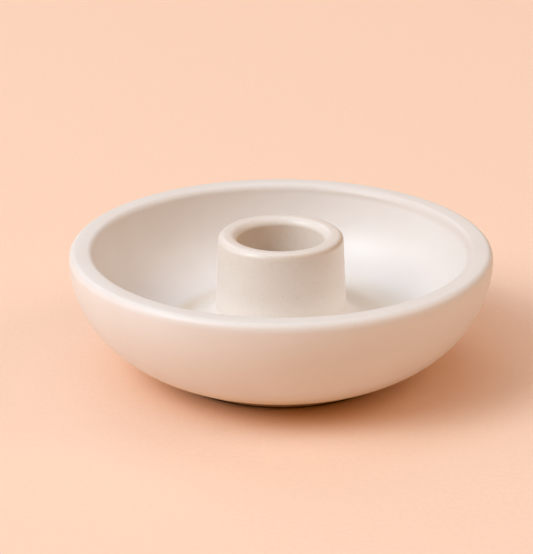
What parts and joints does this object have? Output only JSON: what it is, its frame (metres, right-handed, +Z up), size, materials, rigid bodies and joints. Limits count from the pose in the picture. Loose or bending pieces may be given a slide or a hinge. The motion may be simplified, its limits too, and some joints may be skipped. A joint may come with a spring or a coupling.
{
  "type": "taper candle holder",
  "caption": "Low round stoneware dish with a rolled rim, a central cup that holds a taper candle upright, and a bare clay ring foot.",
  "frame": {"origin": "on the table, under the middle of the dish", "axes": "+Z up along the candle's axis; the object is round, so X and Y are free, with -Y towards the picture's camera"},
  "size_m": [0.11, 0.11, 0.036],
  "materials": {
    "satin_glaze": "satin off-white glaze over speckled stoneware",
    "bare_clay": "unglazed fired clay, ground smooth where it stands"
  },
  "bodies": {
    "root": {"dish": "satin_glaze", "candle_cup": "satin_glaze", "luting_fillet": "satin_glaze", "foot_ring": "bare_clay"}
  },
  "joints": []
}
